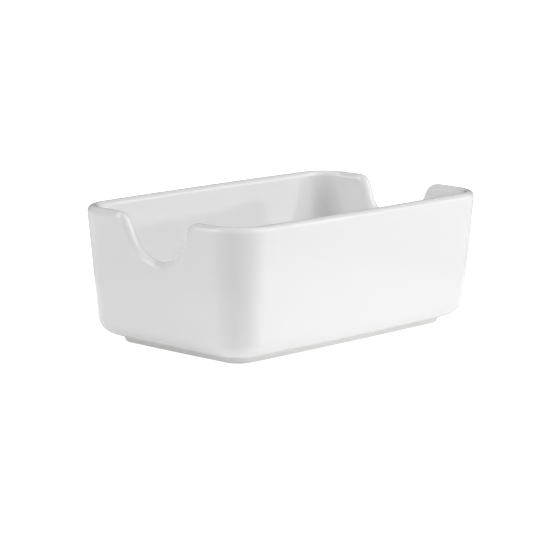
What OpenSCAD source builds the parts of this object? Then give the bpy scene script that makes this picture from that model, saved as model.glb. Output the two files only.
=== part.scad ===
// Sugar packet holder: a footed porcelain trough with leaning, softly bowed walls and round corners.
// Packets stand on edge across it, and a finger scoop in each end wall lets them be lifted out.
// Millimetres, +Z up, origin on the table under the middle of the dish, long side along X.

/* [Dish] */
// Length along X, over the full belly of both end walls at the rim
dish_length = 117; // [100:1:150]
// Width along Y, over the full belly of both long walls at the rim
dish_width = 76; // [70:1:100]
// Overall height from the table to the top of the rim
dish_height = 43.5; // [38:0.5:60]
// Outer corner radius of the rim, seen from above
corner_radius = 11.5; // [10:0.5:16]
// Share of each step inward that the corner radius loses as the walls draw in towards the base
corner_share = 0.6; // [0.4:0.05:0.7]
// Belly of each long wall between its corners
side_bow = 1.4; // [0:0.1:3]
// Belly of each end wall between its corners
end_bow = 0.8; // [0:0.1:2]

/* [Walls] */
// Thickness of the wall at the rim, which its rolled lip rounds over
wall = 4; // [3:0.1:5]
// Lean of the outer face from upright
outer_draft = 4.7; // [3:0.1:6]
// Lean of the inner face from upright, more than outside so that the wall thickens downwards
inner_draft = 5.5; // [5:0.1:6.5]
// Thickness of the floor
floor_thickness = 4.5; // [3:0.1:6]
// Radius between the inner face and the floor
floor_fillet = 6; // [3:0.5:7]
// Radius between the outer face and the underside
base_radius = 6; // [3:0.5:8]

/* [Finger scoops] */
// Width of a scoop, from level rim to level rim
scoop_width = 35; // [28:0.5:38]
// Depth of a scoop below the rim
scoop_depth = 14; // [13:0.5:18]
// Steepest slope of a scoop's sides
scoop_slope = 68; // [60:1:70]
// Radius of the shoulders where a scoop meets the level rim
shoulder_radius = 5; // [4:0.5:7]
// How far each scoop sits off the middle of its end wall, anticlockwise seen from above
scoop_drift = 0.9; // [-2:0.1:2]

/* [Foot ring] */
// Height of the foot ring
foot_height = 2.3; // [1.5:0.1:4]
// Width of the flat land that stands on the table
land_width = 3.2; // [2.4:0.1:5]
// How much further each flank reaches at the underside than at the land
foot_flare = 0.8; // [0.3:0.1:1.5]
// Gap from the end of the base radius to the top edge of the foot ring
foot_setback = 0.8; // [0.3:0.1:3]
// Worn rounding along both edges of the land
land_edge = 0.5; // [0.2:0.1:1]

/* [Smoothness] */
// Steps round each plan corner
corner_steps = 8; // [4:1:10]
// Steps along each long wall
side_steps = 8; // [4:1:12]
// Steps round the bottom of a scoop on each side of its middle
scoop_steps = 7; // [4:1:9]
// Steps round each shoulder
shoulder_steps = 5; // [3:1:6]
// Steps over the rolled lip
lip_steps = 8; // [6:2:10]
// Steps round the base radius and the floor fillet
fillet_steps = 7; // [4:1:8]
// Steps up each face of the wall
face_steps = 3; // [1:1:4]

/* [Hidden] */

glaze_color = [0.95, 0.95, 0.94];
bare_color = [0.87, 0.86, 0.83];

half_length = dish_length / 2 - end_bow;
half_width = dish_width / 2 - side_bow;
lip_radius = wall / 2;
rim_z = dish_height - lip_radius;
floor_z = foot_height + floor_thickness;
quarter_turn = 90;
half_turn = 2 * quarter_turn;

// Rounded bottom of a scoop and its shoulders, both along the middle of the wall's thickness
scoop_radius = (scoop_width / 2 - scoop_depth / tan(scoop_slope)) / tan(scoop_slope / 2) - shoulder_radius;
bowl_radius = scoop_radius + lip_radius;
bowl_z = dish_height - scoop_depth + scoop_radius;
bend_radius = shoulder_radius - lip_radius;

// How far the outer face stands inside the rim's outline at height z
function set_in(z) = (rim_z - z) * tan(outer_draft);

// Level thickness of the wall at height z
function thickness(z) = wall + (rim_z - z) * (tan(inner_draft) - tan(outer_draft));

// Half of the straight run of an end wall between its corners at height z
function straight_run(z) = half_width - corner_radius - set_in(z) * (1 - corner_share);

// A station is a place on the outline: its shares of the straight runs along X and Y,
// the way that the wall faces there, the height of the lip's centre and the lean of the lip
function station(turn, share, lip_z, lean) =
    [cos(turn) - share * sin(turn), sin(turn) + share * cos(turn), turn, lip_z, lean];

// Centre line of the rolled lip across a scooped wall: place along the wall, height and lean
function shoulder(side) = [
    for (step = [0 : shoulder_steps])
        let (lean = side * scoop_slope * (side > 0 ? 1 - step / shoulder_steps : step / shoulder_steps))
        [side * scoop_width / 2 - bend_radius * sin(lean), rim_z - bend_radius + bend_radius * cos(lean), lean]
];
function scoop_bottom() = [
    for (step = [-scoop_steps : scoop_steps])
        let (lean = scoop_slope * step / scoop_steps)
        [bowl_radius * sin(lean), bowl_z - bowl_radius * cos(lean), lean]
];
function scooped_wall(turn) = [
    for (step = concat(shoulder(-1), scoop_bottom(), shoulder(1)))
        station(turn, (step[0] + scoop_drift) / straight_run(step[1]), step[1], step[2])
];
function plain_wall(turn) = [
    for (step = [1 : side_steps - 1]) station(turn, 2 * step / side_steps - 1, rim_z, 0)
];
function corner(turn) = [
    for (step = [0 : corner_steps])
        let (start = station(turn, 1, rim_z, 0))
        [start[0], start[1], turn + quarter_turn * step / corner_steps, rim_z, 0]
];

// Anticlockwise from the +X end wall
dish_stations = concat(
    scooped_wall(0), corner(0),
    plain_wall(quarter_turn), corner(quarter_turn),
    scooped_wall(half_turn), corner(half_turn),
    plain_wall(half_turn + quarter_turn), corner(half_turn + quarter_turn)
);
foot_stations = [
    for (side = [0 : 3]) each concat(plain_wall(side * quarter_turn), corner(side * quarter_turn))
];

// A point of the dish: the station's place on a rounded rectangle drawn in by inset, moved out
// along its normal and along the wall, then bellied with the walls and set at height z
function spot(place, inset, out, along, z) =
    let (
        turn = place[2],
        radius = corner_radius - corner_share * inset,
        x = place[0] * (half_length - inset - radius) + (radius + out) * cos(turn) - along * sin(turn),
        y = place[1] * (half_width - inset - radius) + (radius + out) * sin(turn) + along * cos(turn)
    )
    [
        x * (1 + end_bow / half_length * (1 - pow(y / half_width, 2))),
        y * (1 + side_bow / half_width * (1 - pow(x / half_length, 2))),
        z
    ];

// Height and extra inset of a fillet between a face that leans by draft and a level face at z
function fillet_z(z, radius, angle) = z + radius * (1 - sin(angle));
function fillet_inset(radius, draft, angle) = radius * (1 / cos(draft) - cos(angle) - sin(angle) * tan(draft));

// Each row runs once round the dish. The rows go from the underside up the outer face,
// over the lip, and down the inner face to the floor.
function base_row(angle) =
    let (z = fillet_z(foot_height, base_radius, angle))
    [for (place = dish_stations)
        spot(place, set_in(z) + fillet_inset(base_radius, outer_draft, angle), 0, 0, z)];
function outer_row(share) =
    let (start = fillet_z(foot_height, base_radius, outer_draft))
    [for (place = dish_stations)
        let (z = start + (place[3] - start) * share)
        spot(place, set_in(z), 0, 0, z)];
function lip_row(angle) = [
    for (place = dish_stations)
        let (radius = thickness(place[3]) / 2)
        spot(place, set_in(place[3]), radius * (cos(angle) - 1),
            -radius * sin(angle) * sin(place[4]), place[3] + radius * sin(angle) * cos(place[4]))
];
function inner_row(share) =
    let (end = fillet_z(floor_z, floor_fillet, inner_draft))
    [for (place = dish_stations)
        let (z = place[3] + (end - place[3]) * share)
        spot(place, set_in(z), -thickness(z), 0, z)];
function floor_row(angle) =
    let (z = fillet_z(floor_z, floor_fillet, angle))
    [for (place = dish_stations)
        spot(place, set_in(z) + fillet_inset(floor_fillet, inner_draft, angle), -thickness(z), 0, z)];

dish_rows = [
    for (step = [0 : fillet_steps]) base_row(quarter_turn + (outer_draft - quarter_turn) * step / fillet_steps),
    for (step = [1 : face_steps]) outer_row(step / face_steps),
    for (step = [1 : lip_steps]) lip_row(half_turn * step / lip_steps),
    for (step = [1 : face_steps]) inner_row(step / face_steps),
    for (step = [1 : fillet_steps]) floor_row(inner_draft + (quarter_turn - inner_draft) * step / fillet_steps)
];

// Section of the foot ring as inset and height, from the top of the outer flank down to the land
// and up the inner flank
foot_inset = set_in(foot_height) + fillet_inset(base_radius, outer_draft, quarter_turn) + foot_setback;
land_start = foot_inset + foot_flare;
land_end = land_start + land_width;
edge_steps = 3;
foot_section = concat(
    [[foot_inset, foot_height]],
    [for (step = [0 : edge_steps])
        let (angle = quarter_turn * step / edge_steps)
        [land_start + land_edge * (1 - cos(angle)), land_edge * (1 - sin(angle))]],
    [for (step = [0 : edge_steps])
        let (angle = quarter_turn * (1 - step / edge_steps))
        [land_end - land_edge * (1 - cos(angle)), land_edge * (1 - sin(angle))]],
    [[land_end + foot_flare, foot_height]]
);
foot_rows = [
    for (point = foot_section) [for (place = foot_stations) spot(place, point[0], 0, 0, point[1])]
];

// Two triangles for each patch between two rows
function patch(low, high, count) = [
    for (step = [0 : count - 1])
        let (next = (step + 1) % count)
        each [[low + step, high + step, high + next], [low + step, high + next, low + next]]
];

// Solid between rows that start and end at a level face with a middle point of its own
module closed_loft(rows) {
    count = len(rows[0]);
    last = (len(rows) - 1) * count;
    low_middle = len(rows) * count;
    high_middle = low_middle + 1;
    points = concat([for (row = rows) each row], [[0, 0, rows[0][0][2]], [0, 0, rows[len(rows) - 1][0][2]]]);
    faces = concat(
        [for (row = [0 : len(rows) - 2]) each patch(row * count, (row + 1) * count, count)],
        [for (step = [0 : count - 1]) [low_middle, step, (step + 1) % count]],
        [for (step = [0 : count - 1]) [high_middle, last + (step + 1) % count, last + step]]
    );
    polyhedron(points, faces, convexity = 4);
}

// Solid whose last row joins its first again
module ring_loft(rows) {
    count = len(rows[0]);
    faces = [
        for (row = [0 : len(rows) - 1]) each patch(row * count, (row + 1) % len(rows) * count, count)
    ];
    polyhedron([for (row = rows) each row], faces, convexity = 4);
}

// Glazed body: underside, leaning walls, rolled lip with its two scoops, and the packet well
module dish() {
    color(glaze_color) closed_loft(dish_rows);
}

// Unglazed ring that the dish stands on, face to face with its underside
module foot_ring() {
    color(bare_color) ring_loft(foot_rows);
}

dish();
foot_ring();
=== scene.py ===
# Sugar packet holder: a glazed porcelain dish on its bare foot ring, in a plain studio.
# Metres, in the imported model's own frame. Both pieces are lofted by Geometry Nodes.
from math import cos, pi, radians, sin, tan

import bpy
from mathutils import Matrix, Vector


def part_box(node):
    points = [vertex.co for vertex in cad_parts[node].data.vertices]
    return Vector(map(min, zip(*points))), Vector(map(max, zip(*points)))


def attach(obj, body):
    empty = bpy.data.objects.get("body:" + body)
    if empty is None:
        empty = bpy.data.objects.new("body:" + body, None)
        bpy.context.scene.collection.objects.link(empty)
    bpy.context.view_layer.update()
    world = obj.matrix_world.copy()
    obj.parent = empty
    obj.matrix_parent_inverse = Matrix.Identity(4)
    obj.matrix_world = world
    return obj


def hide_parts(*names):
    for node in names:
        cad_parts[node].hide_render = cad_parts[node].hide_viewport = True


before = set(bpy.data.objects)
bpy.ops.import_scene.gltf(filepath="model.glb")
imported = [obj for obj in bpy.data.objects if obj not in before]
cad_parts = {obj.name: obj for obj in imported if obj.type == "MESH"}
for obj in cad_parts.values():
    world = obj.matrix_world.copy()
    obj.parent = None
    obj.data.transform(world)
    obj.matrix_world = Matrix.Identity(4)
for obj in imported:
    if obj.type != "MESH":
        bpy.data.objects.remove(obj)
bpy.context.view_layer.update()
dishLow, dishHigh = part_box("dish")
mm = 0.001
weldReach = 0.004 * mm   # points of a loft that lie closer than this become one
print("frame loaded")


# Small helpers for node trees

class Wire:  # a value on its way through a node tree, so that sums can be written as sums
    def __init__(self, tree, socket):
        self.tree = tree
        self.socket = socket

    def __add__(self, other):
        return reckon(self.tree, "ADD", self, other)

    def __radd__(self, other):
        return reckon(self.tree, "ADD", other, self)

    def __sub__(self, other):
        return reckon(self.tree, "SUBTRACT", self, other)

    def __rsub__(self, other):
        return reckon(self.tree, "SUBTRACT", other, self)

    def __mul__(self, other):
        return reckon(self.tree, "MULTIPLY", self, other)

    def __truediv__(self, other):
        return reckon(self.tree, "DIVIDE", self, other)

    def __rtruediv__(self, other):
        return reckon(self.tree, "DIVIDE", other, self)

    def __neg__(self):
        return reckon(self.tree, "MULTIPLY", self, -1)


def plug(tree, value, socket):
    if isinstance(value, Wire):
        tree.links.new(value.socket, socket)
    else:
        socket.default_value = value


def addNode(tree, kind, inputs=None, **settings):
    node = tree.nodes.new(kind)
    for name, value in settings.items():
        setattr(node, name, value)
    for name, value in (inputs or {}).items():
        plug(tree, value, node.inputs[name])
    return node


def wireFrom(tree, kind, inputs=None, output=0, **settings):
    return Wire(tree, addNode(tree, kind, inputs, **settings).outputs[output])


def reckon(tree, operation, *values):
    return wireFrom(tree, "ShaderNodeMath", dict(enumerate(values)), operation=operation)


def sine(wire):
    return reckon(wire.tree, "SINE", wire)


def cosine(wire):
    return reckon(wire.tree, "COSINE", wire)


def tangent(wire):
    return reckon(wire.tree, "TANGENT", wire)


def ramp(wire, start, end, low, high, shape="LINEAR"):
    inputs = {"Value": wire, "From Min": start, "From Max": end, "To Min": low, "To Max": high}
    return wireFrom(wire.tree, "ShaderNodeMapRange", inputs, clamp=True, interpolation_type=shape)


def splitUp(wire):
    node = addNode(wire.tree, "ShaderNodeSeparateXYZ", {0: wire})
    return [Wire(wire.tree, output) for output in node.outputs]


def joinUp(x, y, z):
    return wireFrom(z.tree, "ShaderNodeCombineXYZ", {0: x, 1: y, 2: z})


def attribute(tree, name, kind="FLOAT"):
    return wireFrom(tree, "GeometryNodeInputNamedAttribute", {"Name": name}, data_type=kind)


def keep(geometry, name, value, kind="FLOAT"):
    inputs = {"Geometry": geometry, "Name": name, "Value": value}
    return wireFrom(geometry.tree, "GeometryNodeStoreNamedAttribute", inputs, data_type=kind, domain="POINT")


def startTree(name, sizes, extras):
    tree = bpy.data.node_groups.new(name, "GeometryNodeTree")
    tree.is_modifier = True
    tree.interface.new_socket("mesh", in_out="OUTPUT", socket_type="NodeSocketGeometry")
    tree.interface.new_socket("outline", in_out="INPUT", socket_type="NodeSocketGeometry")
    for key, value in sizes.items():
        kind = "NodeSocketInt" if isinstance(value, int) else "NodeSocketFloat"
        tree.interface.new_socket(key, in_out="INPUT", socket_type=kind)
    for key, kind in extras.items():
        tree.interface.new_socket(key, in_out="INPUT", socket_type=kind)
    given = tree.nodes.new("NodeGroupInput")
    return tree, {output.name: Wire(tree, output) for output in given.outputs if output.name}


def endTree(tree, mesh, finish):
    mesh = wireFrom(tree, "GeometryNodeMergeByDistance", {"Geometry": mesh, "Distance": weldReach})
    mesh = wireFrom(tree, "GeometryNodeSetShadeSmooth", {"Geometry": mesh, "Shade Smooth": True})
    mesh = wireFrom(tree, "GeometryNodeRealizeInstances", {"Geometry": mesh})
    mesh = wireFrom(tree, "GeometryNodeSetMaterial", {"Geometry": mesh, "Material": finish})
    addNode(tree, "NodeGroupOutput", {"mesh": mesh})


def runTree(name, tree, host, values, node):
    modifier = host.modifiers.new("loft", "NODES")
    modifier.node_group = tree
    for item in tree.interface.items_tree:
        if item.in_out == "INPUT" and item.name in values:
            modifier[item.identifier] = values[item.name]
    shaped = host.evaluated_get(bpy.context.evaluated_depsgraph_get())
    mesh = bpy.data.meshes.new_from_object(shaped)
    host.modifiers.remove(modifier)
    bpy.data.objects.remove(host)
    for spare in ("laid", "ahead", "row", "bend", "inset", "level"):   # only the trees need these
        if spare in mesh.attributes:
            mesh.attributes.remove(mesh.attributes[spare])
    mesh.name = name
    piece = bpy.data.objects.new(name, mesh)
    bpy.context.scene.collection.objects.link(piece)
    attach(piece, "root")
    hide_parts(node)
    print(name, len(mesh.polygons), "faces")
    return piece


def drawLoop(name, corners):  # a closed line of sharp corners, each with the radius that rounds it
    mesh = bpy.data.meshes.new(name)
    count = len(corners)
    mesh.from_pydata([place for place, _ in corners], [(i, (i + 1) % count) for i in range(count)], [])
    bend = mesh.attributes.new("bend", "FLOAT", "POINT")
    bend.data.foreach_set("value", [radius for _, radius in corners])
    loop = bpy.data.objects.new(name, mesh)
    bpy.context.scene.collection.objects.link(loop)
    return loop


# Effects that both finishes share, each with its own values

flow = {
    "wave size": 15 * mm,
    "wave height": 0.035 * mm,
    "peel size": 2.5 * mm,
    "peel height": 0.0006 * mm,
}
specks = {
    "spacing": 6 * mm,
    "speck size": 0.16 * mm,
    "share": 0.2,        # of the places where a speck could be
    "solid part": 0.3,   # of a speck's radius, past which it fades
}


def startEffect(name, inputs, output):
    group = bpy.data.node_groups.new(name, "ShaderNodeTree")
    for key, value in inputs.items():
        group.interface.new_socket(key, in_out="INPUT", socket_type="NodeSocketFloat").default_value = value
    group.interface.new_socket(output, in_out="OUTPUT", socket_type="NodeSocketFloat")
    given = group.nodes.new("NodeGroupInput")
    place = wireFrom(group, "ShaderNodeTexCoord", output="Object")
    return group, place, {item.name: Wire(group, item) for item in given.outputs if item.name}


def noise(place, size, detail, roughness=0.5):
    inputs = {"Vector": place, "Scale": 1 / size, "Detail": detail, "Roughness": roughness}
    return wireFrom(place.tree, "ShaderNodeTexNoise", inputs, output="Fac")


def glazeFlow():  # slow waves left by the running glaze, with a finer peel on top, as a height
    group, place, given = startEffect("glazeFlow", flow, "height")
    waves = noise(place, given["wave size"], detail=1.0) * given["wave height"]
    peel = noise(place, given["peel size"], detail=2.0) * given["peel height"]
    addNode(group, "NodeGroupOutput", {"height": waves + peel})
    return group


def fineSpecks():  # sparse pin-sized specks in the clay, as a mask
    group, place, given = startEffect("fineSpecks", specks, "mask")
    cells = addNode(group, "ShaderNodeTexVoronoi", {"Vector": place, "Scale": 1 / given["spacing"]})
    distance = Wire(group, cells.outputs["Distance"]) * given["spacing"]
    lot = splitUp(Wire(group, cells.outputs["Color"]))   # drawn for each cell
    chosen = reckon(group, "LESS_THAN", lot[0], given["share"])
    radius = given["speck size"] * lot[1]
    near = ramp(distance, radius * given["solid part"], radius, 1.0, 0.0)
    addNode(group, "NodeGroupOutput", {"mask": near * chosen})
    return group


effects = {"flow": glazeFlow(), "specks": fineSpecks()}


def useEffect(tree, effect, values):
    node = addNode(tree, "ShaderNodeGroup", node_tree=effects[effect])
    for key, value in values.items():
        plug(tree, value, node.inputs[key])
    return Wire(tree, node.outputs[0])


def mixColours(tree, share, first, second):
    inputs = {"Factor": share, 6: first, 7: second}
    return wireFrom(tree, "ShaderNodeMix", inputs, output=2, data_type="RGBA")


def startMaterial(name, ior):
    material = bpy.data.materials.new(name)
    material.use_nodes = True
    tree = material.node_tree
    shader = tree.nodes["Principled BSDF"]
    shader.inputs["IOR"].default_value = ior
    place = wireFrom(tree, "ShaderNodeTexCoord", output="Object")
    return material, tree, shader, place


def raiseSurface(tree, shader, height):  # the height is in metres
    bump = wireFrom(tree, "ShaderNodeBump", {"Height": height, "Distance": 1.0}, output="Normal")
    plug(tree, bump, shader.inputs["Normal"])


# Glazed porcelain: a milky glossy glaze that thins over the lip and pools in the floor's corners

glaze = {
    "milk": (0.885, 0.885, 0.883, 1),
    "thin": (0.865, 0.863, 0.857, 1),   # where the glaze draws off the lip and the clay shows through
    "pooled": (0.88, 0.888, 0.886, 1),  # where it stands thicker
    "speck": (0.52, 0.48, 0.42, 1),
    "speckShare": 0.35,        # of a speck's own colour that shows
    "specks": specks,
    "flow": flow,
    "ior": 1.52,
    "gloss": 0.06,             # roughness where it is glossiest
    "haze": 0.05,              # added to that in its dullest patches
    "patchSize": 22 * mm,
    "patchLevels": (0.35, 0.7),   # of the patches, between which the haze comes in
}


def glazedPorcelain():
    material, tree, shader, place = startMaterial("glazedPorcelain", glaze["ior"])
    lip = wireFrom(tree, "ShaderNodeAttribute", output="Fac", attribute_name="lip")
    pool = wireFrom(tree, "ShaderNodeAttribute", output="Fac", attribute_name="pool")
    patches = noise(place, glaze["patchSize"], detail=3.0)
    colour = mixColours(tree, lip * patches, glaze["milk"], glaze["thin"])
    colour = mixColours(tree, pool, colour, glaze["pooled"])
    dots = useEffect(tree, "specks", glaze["specks"])
    colour = mixColours(tree, dots * glaze["speckShare"], colour, glaze["speck"])
    plug(tree, colour, shader.inputs["Base Color"])
    roughness = ramp(patches, *glaze["patchLevels"], glaze["gloss"], glaze["gloss"] + glaze["haze"])
    plug(tree, roughness, shader.inputs["Roughness"])
    raiseSurface(tree, shader, useEffect(tree, "flow", glaze["flow"]))
    return material


# Bare foot: wiped clean and ground flat, with the glaze ending in a soft wavy line on its flanks

bareFoot = {
    "clay": (0.87, 0.863, 0.848, 1),
    "rubbed": (0.77, 0.757, 0.732, 1),   # grey grime on the land that slides on tables
    "ior": 1.5,
    "clayRoughness": 0.62,
    "specks": specks | {"spacing": 3 * mm, "speck size": 0.22 * mm, "share": 0.35},
    "glazeEdge": 0.95 * mm,       # height above the table where the glaze ends
    "edgeWave": 0.35 * mm,        # how much that line rises and falls
    "edgeWaveLength": 9 * mm,
    "edgeBlur": 0.12 * mm,
    "glazeHeight": 0.06 * mm,     # that the glaze stands proud of the clay
    "grainSize": 0.5 * mm,
    "grainRoughness": 0.65,
    "grainLevels": (0.3, 0.7),
    "grainShade": 0.25,           # share of grime in the deepest grain
    "grainHeight": 0.02 * mm,
    "rubSize": 7 * mm,
    "rubLevels": (0.42, 0.72),
    "rubShade": 0.7,              # share of grime where the land is rubbed most
    "rubHeights": (0.02 * mm, 0.35 * mm),   # above the table, between which the grime fades out
}


def footFinish():
    material, tree, shader, place = startMaterial("barePorcelain", bareFoot["ior"])
    z = splitUp(place)[2]
    wave = noise(place, bareFoot["edgeWaveLength"], detail=2.0) * bareFoot["edgeWave"]
    edge = wave + (bareFoot["glazeEdge"] - bareFoot["edgeWave"] / 2)
    glazed = ramp(z - edge, 0.0, bareFoot["edgeBlur"], 0.0, 1.0, "SMOOTHSTEP")
    grain = noise(place, bareFoot["grainSize"], detail=4.0, roughness=bareFoot["grainRoughness"])
    wear = noise(place, bareFoot["rubSize"], detail=3.0)
    rubbed = (ramp(wear, *bareFoot["rubLevels"], 0.0, bareFoot["rubShade"])
              * ramp(z, *bareFoot["rubHeights"], 1.0, 0.0))
    shade = ramp(grain, *bareFoot["grainLevels"], 0.0, bareFoot["grainShade"])
    clay = mixColours(tree, shade, bareFoot["clay"], bareFoot["rubbed"])
    clay = mixColours(tree, rubbed, clay, bareFoot["rubbed"])
    dots = useEffect(tree, "specks", bareFoot["specks"])
    clay = mixColours(tree, dots * glaze["speckShare"], clay, glaze["speck"])
    plug(tree, mixColours(tree, glazed, clay, glaze["milk"]), shader.inputs["Base Color"])
    plug(tree, ramp(glazed, 0.0, 1.0, bareFoot["clayRoughness"], glaze["gloss"]), shader.inputs["Roughness"])
    waves = useEffect(tree, "flow", glaze["flow"])
    raiseSurface(tree, shader,
                 waves + grain * (1 - glazed) * bareFoot["grainHeight"] + glazed * bareFoot["glazeHeight"])
    return material


# The dish. Its plan is a rounded rectangle that draws in towards the base, with every wall bowed.

dish = {
    "length": 117 * mm,       # over the full bow of both end walls
    "width": dishHigh.y - dishLow.y,
    "height": dishHigh.z,
    "wall": 4 * mm,
    "corner": 11.5 * mm,
    "cornerShare": 0.6,       # of each step inward, taken off the corner radius
    "endBow": 0.8 * mm,
    "sideBow": 1.4 * mm,
    "outerDraft": radians(4.7),
    "innerDraft": radians(5.5),
    "baseRadius": 6 * mm,
    "floorThickness": 4.5 * mm,
    "floorFillet": 6 * mm,
    "scoopWidth": 35 * mm,
    "scoopDepth": 14 * mm,
    "scoopSlope": radians(68),
    "shoulder": 5 * mm,
    "scoopDrift": 0.9 * mm,   # anticlockwise off the middle, seen from above
}
lip = dish["wall"] / 2

# What the trees need, by the names of their inputs
plan = {
    "half length": dish["length"] / 2 - dish["endBow"],   # at the corners, with the end walls' bow off
    "half width": dish["width"] / 2 - dish["sideBow"],
    "end bow": dish["endBow"],
    "side bow": dish["sideBow"],
    "corner radius": dish["corner"],
    "corner share": dish["cornerShare"],
    "lip radius": lip,
    "rim height": dish["height"] - lip,
    "outer draft": dish["outerDraft"],
    "bend steps": 40,
}
shell = plan | {
    "inner draft": dish["innerDraft"],
    "wall": dish["wall"],
    "underside": dishLow.z,
    "base radius": dish["baseRadius"],
    "floor": dishLow.z + dish["floorThickness"],
    "floor fillet": dish["floorFillet"],
    "spacing": 0.45 * mm,
    "middle rows": 5,
    "fillet rows": 11,
    "face rows": 14,
    "lip rows": 20,
    "pool rows": 2,       # up the wall from the floor's fillet, where the glaze starts to pool
    "middle pool": 0.3,   # share of that pooling left in the middle of the floor
}


def lipCorners():  # the lip's centre line with its corners still sharp, anticlockwise from the +X end
    half = tan(dish["scoopSlope"] / 2)
    sideRun = dish["scoopDepth"] / tan(dish["scoopSlope"])
    scoopRadius = (dish["scoopWidth"] / 2 - sideRun) / half - dish["shoulder"]
    bowl = scoopRadius + lip
    bend = dish["shoulder"] - lip
    top = plan["rim height"]
    low = dish["height"] - dish["scoopDepth"] - lip
    outer = dish["scoopWidth"] / 2 - bend * half
    x = plan["half length"] - lip
    y = plan["half width"] - lip
    corners = []
    for side in (1, -1):
        for across, z, radius in ((-outer, top, bend), (-bowl * half, low, bowl),
                                  (bowl * half, low, bowl), (outer, top, bend)):
            corners.append(((side * x, side * (across + dish["scoopDrift"]), z), radius))
        for end in (side, -side):
            corners.append(((end * x, side * y, top), dish["corner"] - lip))
    return corners


def roundOff(tree, line, steps):  # rounds each corner by the radius that it carries
    rounding = {"Curve": line, "Count": steps, "Radius": attribute(tree, "bend"), "Limit Radius": True}
    return wireFrom(tree, "GeometryNodeFilletCurve", rounding, mode="POLY")


def walkRound(tree, given):  # rounds the outline and remembers where it runs
    line = wireFrom(tree, "GeometryNodeMeshToCurve", {"Mesh": given["outline"]})
    line = roundOff(tree, line, given["bend steps"])
    evenly = {"Curve": line, "Length": given["spacing"]}
    line = wireFrom(tree, "GeometryNodeResampleCurve", evenly, mode="LENGTH")
    line = keep(line, "laid", wireFrom(tree, "GeometryNodeInputPosition"), "FLOAT_VECTOR")
    return keep(line, "ahead", wireFrom(tree, "GeometryNodeInputTangent"), "FLOAT_VECTOR")


def standing(tree, given):  # for each point of the walk: which way the wall faces, its lean and its place
    aheadX, aheadY, aheadZ = splitUp(attribute(tree, "ahead", "FLOAT_VECTOR"))
    laidX, laidY, laidZ = splitUp(attribute(tree, "laid", "FLOAT_VECTOR"))
    level = reckon(tree, "SQRT", aheadX * aheadX + aheadY * aheadY)
    alongX, alongY = aheadX / level, aheadY / level
    back = given["corner radius"] - given["lip radius"]
    drawIn = (given["rim height"] - laidZ) * tangent(given["outer draft"]) * (1 - given["corner share"])
    shareX = (laidX - alongY * back) / (given["half length"] - given["corner radius"])
    shareY = (laidY + alongX * back) / (given["half width"] - given["corner radius"] - drawIn)
    return {"alongX": alongX, "alongY": alongY, "leanSin": aheadZ, "leanCos": level,
            "lipZ": laidZ, "shareX": shareX, "shareY": shareY}


def spot(given, at, inset, out, along, z, spread=1.0):  # the plan's law: a point of the ware
    radius = given["corner radius"] - given["corner share"] * inset
    reach = radius + out
    x = at["shareX"] * (given["half length"] - inset - radius) + at["alongY"] * reach + at["alongX"] * along
    y = at["shareY"] * (given["half width"] - inset - radius) - at["alongX"] * reach + at["alongY"] * along
    x = x * spread
    y = y * spread
    acrossY = y / given["half width"]
    acrossX = x / given["half length"]
    bowedX = x * (1 + given["end bow"] / given["half length"] * (1 - acrossY * acrossY))
    bowedY = y * (1 + given["side bow"] / given["half width"] * (1 - acrossX * acrossX))
    return joinUp(bowedX, bowedY, z)


def setIn(given, z):
    return (given["rim height"] - z) * tangent(given["outer draft"])


def thickness(given, z):
    thickening = tangent(given["inner draft"]) - tangent(given["outer draft"])
    return given["wall"] + (given["rim height"] - z) * thickening


def filletInset(radius, draft, angle):
    return radius * (1 / cosine(draft) - cosine(angle) - sine(angle) * tangent(draft))


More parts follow.
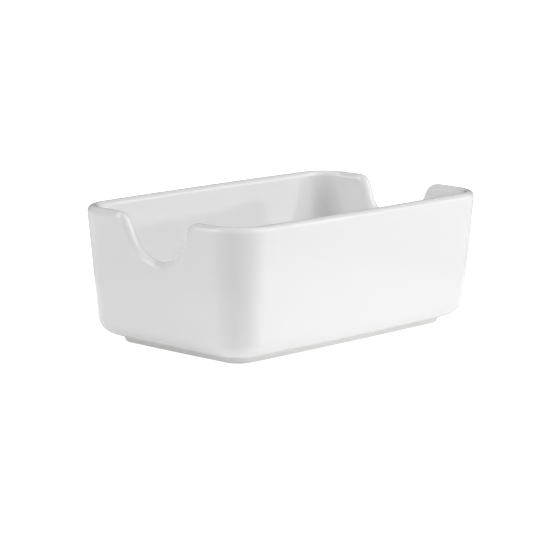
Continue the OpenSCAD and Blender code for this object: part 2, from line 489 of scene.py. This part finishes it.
def dishTree():
    tree, given = startTree("leaningDish", shell, {"finish": "NodeSocketMaterial"})
    quarter = pi / 2

    # where each stage of the section ends, counted in rows from the underside's middle
    baseStart = given["middle rows"]
    outerStart = baseStart + given["fillet rows"]
    lipStart = outerStart + given["face rows"]
    innerStart = lipStart + given["lip rows"]
    floorStart = innerStart + given["face rows"]
    floorEnd = floorStart + given["fillet rows"]
    last = floorEnd + given["middle rows"]

    section = wireFrom(tree, "GeometryNodeMeshLine", {"Count": last + 1, "Offset": (0, 0, mm)})
    section = wireFrom(tree, "GeometryNodeMeshToCurve", {"Mesh": section})
    section = keep(section, "row", wireFrom(tree, "GeometryNodeInputIndex"))
    skin = {"Curve": walkRound(tree, given), "Profile Curve": section}
    mesh = wireFrom(tree, "GeometryNodeCurveToMesh", skin)
    mesh = wireFrom(tree, "GeometryNodeFlipFaces", {"Mesh": mesh})   # outward, as the rows climb the outside

    row = attribute(tree, "row")
    at = standing(tree, given)
    spread = ramp(row, 0, baseStart, 0, 1) * ramp(row, floorEnd, last, 1, 0)
    baseAngle = ramp(row, baseStart, outerStart, quarter, given["outer draft"])
    outerShare = ramp(row, outerStart, lipStart, 0, 1)
    lipAngle = ramp(row, lipStart, innerStart, 0, pi)
    innerShare = ramp(row, innerStart, floorStart, 0, 1)
    floorAngle = ramp(row, floorStart, floorEnd, given["inner draft"], quarter)

    baseZ = given["underside"] + given["base radius"] * (1 - sine(baseAngle))
    floorZ = given["floor"] + given["floor fillet"] * (1 - sine(floorAngle))
    bodyZ = at["lipZ"] + (baseZ - at["lipZ"]) * (1 - outerShare) + (floorZ - at["lipZ"]) * innerShare
    inset = (setIn(given, bodyZ) + filletInset(given["base radius"], given["outer draft"], baseAngle)
             + filletInset(given["floor fillet"], given["inner draft"], floorAngle))
    half = thickness(given, bodyZ) / 2
    up = half * sine(lipAngle)
    place = spot(given, at, inset, half * (cosine(lipAngle) - 1), -up * at["leanSin"],
                 bodyZ + up * at["leanCos"], spread)
    mesh = wireFrom(tree, "GeometryNodeSetPosition", {"Geometry": mesh, "Position": place})
    mesh = keep(mesh, "lip", sine(lipAngle))
    pooling = (ramp(row, floorStart - given["pool rows"], floorEnd, 0, 1)
               * ramp(row, floorEnd, last, 1, given["middle pool"]))
    mesh = keep(mesh, "pool", pooling)
    endTree(tree, mesh, given["finish"])
    return tree


def makeDish():
    host = drawLoop("lipLine", lipCorners())
    values = shell | {"finish": glazedPorcelain()}
    return runTree("glazedDish", dishTree(), host, values, "dish")


# The foot ring: a low tapered ring whose flanks run into the underside in small coves

foot = {
    "setback": 0.8 * mm,   # from the end of the base radius to the ring's top edge
    "flare": 0.8 * mm,
    "land": 3.2 * mm,
    "landEdge": 0.5 * mm,
    "cove": 0.7 * mm,
    "coveReach": 0.75 * mm,   # how far the cove's feather edge runs out under the dish
    "sunk": 0.3 * mm,      # into the dish's solid underside
    "film": 0.03 * mm,     # that the feather edge stands proud of the underside
}
ring = plan | {
    "spacing": 0.5 * mm,
    "section steps": 8,
}


def footSection():  # inset and height, drawn in the XY plane, from the outer flank inward
    draft = plan["outer draft"]
    filletEnd = shell["base radius"] * (1 / cos(draft) - tan(draft))
    top = dishLow.z
    start = (plan["rim height"] - top) * tan(draft) + filletEnd + foot["setback"]
    landStart = start + foot["flare"]
    landEnd = landStart + foot["land"]
    end = landEnd + foot["flare"]
    skin = top - foot["film"]
    inside = top + foot["sunk"]
    reach = foot["coveReach"]
    return [
        ((start - reach, inside, 0), 0), ((start - reach, skin, 0), 0), ((start, skin, 0), foot["cove"]),
        ((landStart, 0, 0), foot["landEdge"]), ((landEnd, 0, 0), foot["landEdge"]),
        ((end, skin, 0), foot["cove"]), ((end + reach, skin, 0), 0), ((end + reach, inside, 0), 0),
    ]


def footCorners():  # the plan's rounded rectangle at the level of the rim
    x = plan["half length"] - lip
    y = plan["half width"] - lip
    ways = ((1, 1), (-1, 1), (-1, -1), (1, -1))
    return [((x * sideX, y * sideY, plan["rim height"]), dish["corner"] - lip) for sideX, sideY in ways]


def footTree():
    tree, given = startTree("footRing", ring, {"section": "NodeSocketObject", "finish": "NodeSocketMaterial"})
    section = wireFrom(tree, "GeometryNodeObjectInfo", {"Object": given["section"]}, output="Geometry")
    section = wireFrom(tree, "GeometryNodeMeshToCurve", {"Mesh": section})
    section = roundOff(tree, section, given["section steps"])
    inset, level, _ = splitUp(wireFrom(tree, "GeometryNodeInputPosition"))
    section = keep(section, "inset", inset)
    section = keep(section, "level", level)
    skin = {"Curve": walkRound(tree, given), "Profile Curve": section}
    mesh = wireFrom(tree, "GeometryNodeCurveToMesh", skin)
    place = spot(given, standing(tree, given), attribute(tree, "inset"), 0.0, 0.0, attribute(tree, "level"))
    mesh = wireFrom(tree, "GeometryNodeSetPosition", {"Geometry": mesh, "Position": place})
    endTree(tree, mesh, given["finish"])
    return tree


def makeFoot():
    section = drawLoop("footSection", footSection())
    host = drawLoop("footLine", footCorners())
    values = ring | {"section": section, "finish": footFinish()}
    piece = runTree("bareFootRing", footTree(), host, values, "foot_ring")
    bpy.data.objects.remove(section)
    return piece


# Studio: angles are in degrees round the dish, from -Y towards +X, and up from the table

view = {
    "azimuth": -46.24,
    "elevation": 10.409,
    "roll": 0.144,
    "distance": 807 * mm,
    "lens": 164.47,    # millimetres, and so is the sensor's width
    "sensor": 36,
    "aimAcross": -2.94 * mm,
    "aimHeight": 18.11 * mm,
}


def onDome(azimuth, elevation):
    around, up = radians(azimuth), radians(elevation)
    return Vector((sin(around) * cos(up), -cos(around) * cos(up), sin(up)))


def setCamera():
    back = onDome(view["azimuth"], view["elevation"])
    across = Vector((cos(radians(view["azimuth"])), sin(radians(view["azimuth"])), 0))
    target = across * view["aimAcross"] + Vector((0, 0, view["aimHeight"]))
    turned = Matrix.Rotation(radians(view["roll"]), 3, back)
    right = turned @ across
    up = turned @ back.cross(across)
    data = bpy.data.cameras.new("studioCamera")
    data.lens = view["lens"]
    data.sensor_width = view["sensor"]
    camera = bpy.data.objects.new("studioCamera", data)
    turn = Matrix((right, up, back)).transposed().to_quaternion()
    camera.matrix_world = Matrix.LocRotScale(target + back * view["distance"], turn, None)
    bpy.context.scene.collection.objects.link(camera)
    bpy.context.scene.camera = camera


lamps = {  # azimuth and elevation in degrees, width in metres and watts of each square softbox
    "leftBack": (-122, 25, 0.65, 2.15),
    "leftBackHigh": (-125, 42, 0.6, 3.3),
    "left": (-85, 14, 0.5, 0.4),
    "front": (22, 14, 0.5, 0.3),
    "right": (65, 14, 0.5, 0.5),
    "frontHigh": (15, 40, 0.8, 3.2),
    "rightHigh": (40, 40, 0.8, 4.1),
    "top": (20, 65, 0.8, 1.4),
    "key": (38, 7.2, 0.03, 1.6),     # low and small: it throws the front rim's shadow across the well
    "back": (170, 30, 0.8, 2.2),
}
lampDistance = 1.2
unmirrored = ("key", "back")   # lamps that the glaze doesn't mirror


def hangLamp(name, azimuth, elevation, width, watts):
    data = bpy.data.lights.new(name, "AREA")
    data.shape = "SQUARE"
    data.size = width
    data.energy = watts
    way = onDome(azimuth, elevation)
    place = way * lampDistance + Vector((0, 0, view["aimHeight"]))
    lamp = bpy.data.objects.new(name, data)
    lamp.matrix_world = Matrix.LocRotScale(place, way.to_track_quat("Z", "Y"), None)
    lamp.visible_glossy = name not in unmirrored
    bpy.context.scene.collection.objects.link(lamp)


def rayKinds(tree, *kinds):
    paths = addNode(tree, "ShaderNodeLightPath")
    return [Wire(tree, paths.outputs[f"Is {kind} Ray"]) for kind in kinds]


sky = {
    "colour": (1, 1, 1, 1),
    "seen": 1.0,    # strength where the room is seen
    "fill": 0.15,   # strength of its even light on the ware
}


def setWorld():
    world = bpy.data.worlds.new("studioWorld")
    world.use_nodes = True
    tree = world.node_tree
    tree.nodes.clear()
    camera, glossy, clear = rayKinds(tree, "Camera", "Glossy", "Transmission")
    strength = ramp(camera + glossy + clear, 0, 1, sky["fill"], sky["seen"])
    shader = wireFrom(tree, "ShaderNodeBackground", {"Color": sky["colour"], "Strength": strength})
    addNode(tree, "ShaderNodeOutputWorld", {"Surface": shader})
    bpy.context.scene.world = world


table = {
    "size": 8.0,
    "paint": (0.8, 0.8, 0.8, 1),
    "seenGlow": 0.85,          # added where the table is seen, so that it is white
    "mirroredGlow": 0.56,      # painted reflection: glow added where the glaze mirrors the paper round the ware, in place of the lit paper
    "litTo": (0.095, 0.135),   # metres from the middle, over which that light falls off
    "bounce": (0.185, 0.3),    # painted light: the paper glows up at the ware in place of bounced light, from its dim to its bright side
    "bounceFrom": (-40 * mm, 0),   # where on the way from -X+Y to +X-Y that light grows
    "nearBounce": 1.15,        # times as much by the foot
    "nearTo": (0.045, 0.075),  # metres from the middle, over which that share falls off
    "shade": 12 * mm,          # how far out the glaze sees the paper shaded by the ware
    "shadeSamples": 6,
    "drop": 0.02 * mm,         # the paper lies this much under the foot, so that their faces stay apart
}


def layFloor():
    edge = table["size"] / 2
    mesh = bpy.data.meshes.new("studioFloor")
    corners = [(x * edge, y * edge, -table["drop"]) for x, y in ((-1, -1), (1, -1), (1, 1), (-1, 1))]
    mesh.from_pydata(corners, [], [(0, 1, 2, 3)])
    floor = bpy.data.objects.new("studioFloor", mesh)
    bpy.context.scene.collection.objects.link(floor)
    material = bpy.data.materials.new("whitePaper")
    material.use_nodes = True
    tree = material.node_tree
    tree.nodes.clear()
    paper = wireFrom(tree, "ShaderNodeBsdfDiffuse", {"Color": table["paint"]})
    x, y, _ = splitUp(wireFrom(tree, "ShaderNodeTexCoord", output="Object"))
    away = reckon(tree, "SQRT", x * x + y * y)
    towardsBright = (x - y) * cos(pi / 4)
    # The paper's glow here is painted light: a pool round the ware that the glaze mirrors, darkened by
    # painted shadow under the ware, and a glow that lights the ware from below
    mirrored = ramp(away, *table["litTo"], table["mirroredGlow"], 0.0, "SMOOTHSTEP")
    paintedBounce = (ramp(towardsBright, *table["bounceFrom"], *table["bounce"], "SMOOTHSTEP")
              * ramp(away, *table["nearTo"], table["nearBounce"], 1.0, "SMOOTHSTEP"))
    camera, clear, glossy, diffuse = rayKinds(tree, "Camera", "Transmission", "Glossy", "Diffuse")
    shade = wireFrom(tree, "ShaderNodeAmbientOcclusion", {"Distance": table["shade"]}, output="AO",
                     samples=table["shadeSamples"])
    # painted light: the paper's glow as the glaze mirrors it and as it lights the ware
    glow = (camera + clear) * table["seenGlow"] + glossy * mirrored * shade + diffuse * paintedBounce
    lit = wireFrom(tree, "ShaderNodeEmission", {"Strength": glow})
    shader = wireFrom(tree, "ShaderNodeAddShader", {0: paper, 1: lit})
    underneath = wireFrom(tree, "ShaderNodeNewGeometry", output="Backfacing")
    seeThrough = wireFrom(tree, "ShaderNodeBsdfTransparent")
    shader = wireFrom(tree, "ShaderNodeMixShader", {0: underneath, 1: shader, 2: seeThrough})
    addNode(tree, "ShaderNodeOutputMaterial", {"Surface": shader})
    mesh.materials.append(material)


flag = {  # a dark curved card behind the ware, which only its glaze mirrors
    "radius": 2.0,
    "azimuth": (60, 225),
    "elevation": (0, 55),
    "steps": (24, 8),
    "paint": (0.01, 0.01, 0.01, 1),
}


def between(ends, share):
    return ends[0] + (ends[1] - ends[0]) * share


def hangFlag():
    across, up = flag["steps"]
    places = []
    for row in range(up + 1):
        elevation = between(flag["elevation"], row / up)
        for step in range(across + 1):
            azimuth = between(flag["azimuth"], step / across)
            places.append(onDome(azimuth, elevation) * flag["radius"])
    wide = across + 1
    faces = [(row * wide + step, row * wide + step + 1, (row + 1) * wide + step + 1, (row + 1) * wide + step)
             for row in range(up) for step in range(across)]
    mesh = bpy.data.meshes.new("darkFlag")
    mesh.from_pydata(places, [], faces)
    card = bpy.data.objects.new("darkFlag", mesh)
    bpy.context.scene.collection.objects.link(card)
    material = bpy.data.materials.new("blackCloth")
    material.use_nodes = True
    shader = material.node_tree.nodes["Principled BSDF"]
    shader.inputs["Base Color"].default_value = flag["paint"]
    shader.inputs["Specular IOR Level"].default_value = 0
    mesh.materials.append(material)
    card.visible_camera = False
    card.visible_diffuse = False
    card.visible_shadow = False
    card.visible_transmission = False


setCamera()
makeDish()
makeFoot()
print("pieces made")
layFloor()
hangFlag()
setWorld()
for name, setting in lamps.items():
    hangLamp(name, *setting)
bpy.context.scene.view_settings.view_transform = "Standard"
print("studio set")
